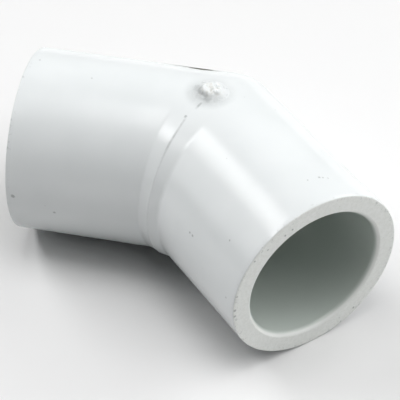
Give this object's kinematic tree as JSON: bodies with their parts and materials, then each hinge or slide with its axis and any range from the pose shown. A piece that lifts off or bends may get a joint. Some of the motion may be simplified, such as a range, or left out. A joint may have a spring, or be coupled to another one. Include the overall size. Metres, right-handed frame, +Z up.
{
  "type": "pvc elbow",
  "caption": "White PVC 45 degree pipe elbow with a slip socket on both ends, a filled throat and a broken-off gate on one side.",
  "frame": {"origin": "the point where the two socket axes cross, at the middle of the bend", "axes": "-X out of the left socket, the right socket opens 45 degrees from +X towards -Y, +Z up with the elbow lying on its side and the gate on top"},
  "size_m": [0.0574, 0.0434, 0.0287],
  "materials": {
    "white_pvc": "semi-gloss moulded PVC, cool white, with fine handling scuffs"
  },
  "bodies": {
    "root": {"elbow_body": "white_pvc"}
  },
  "joints": []
}
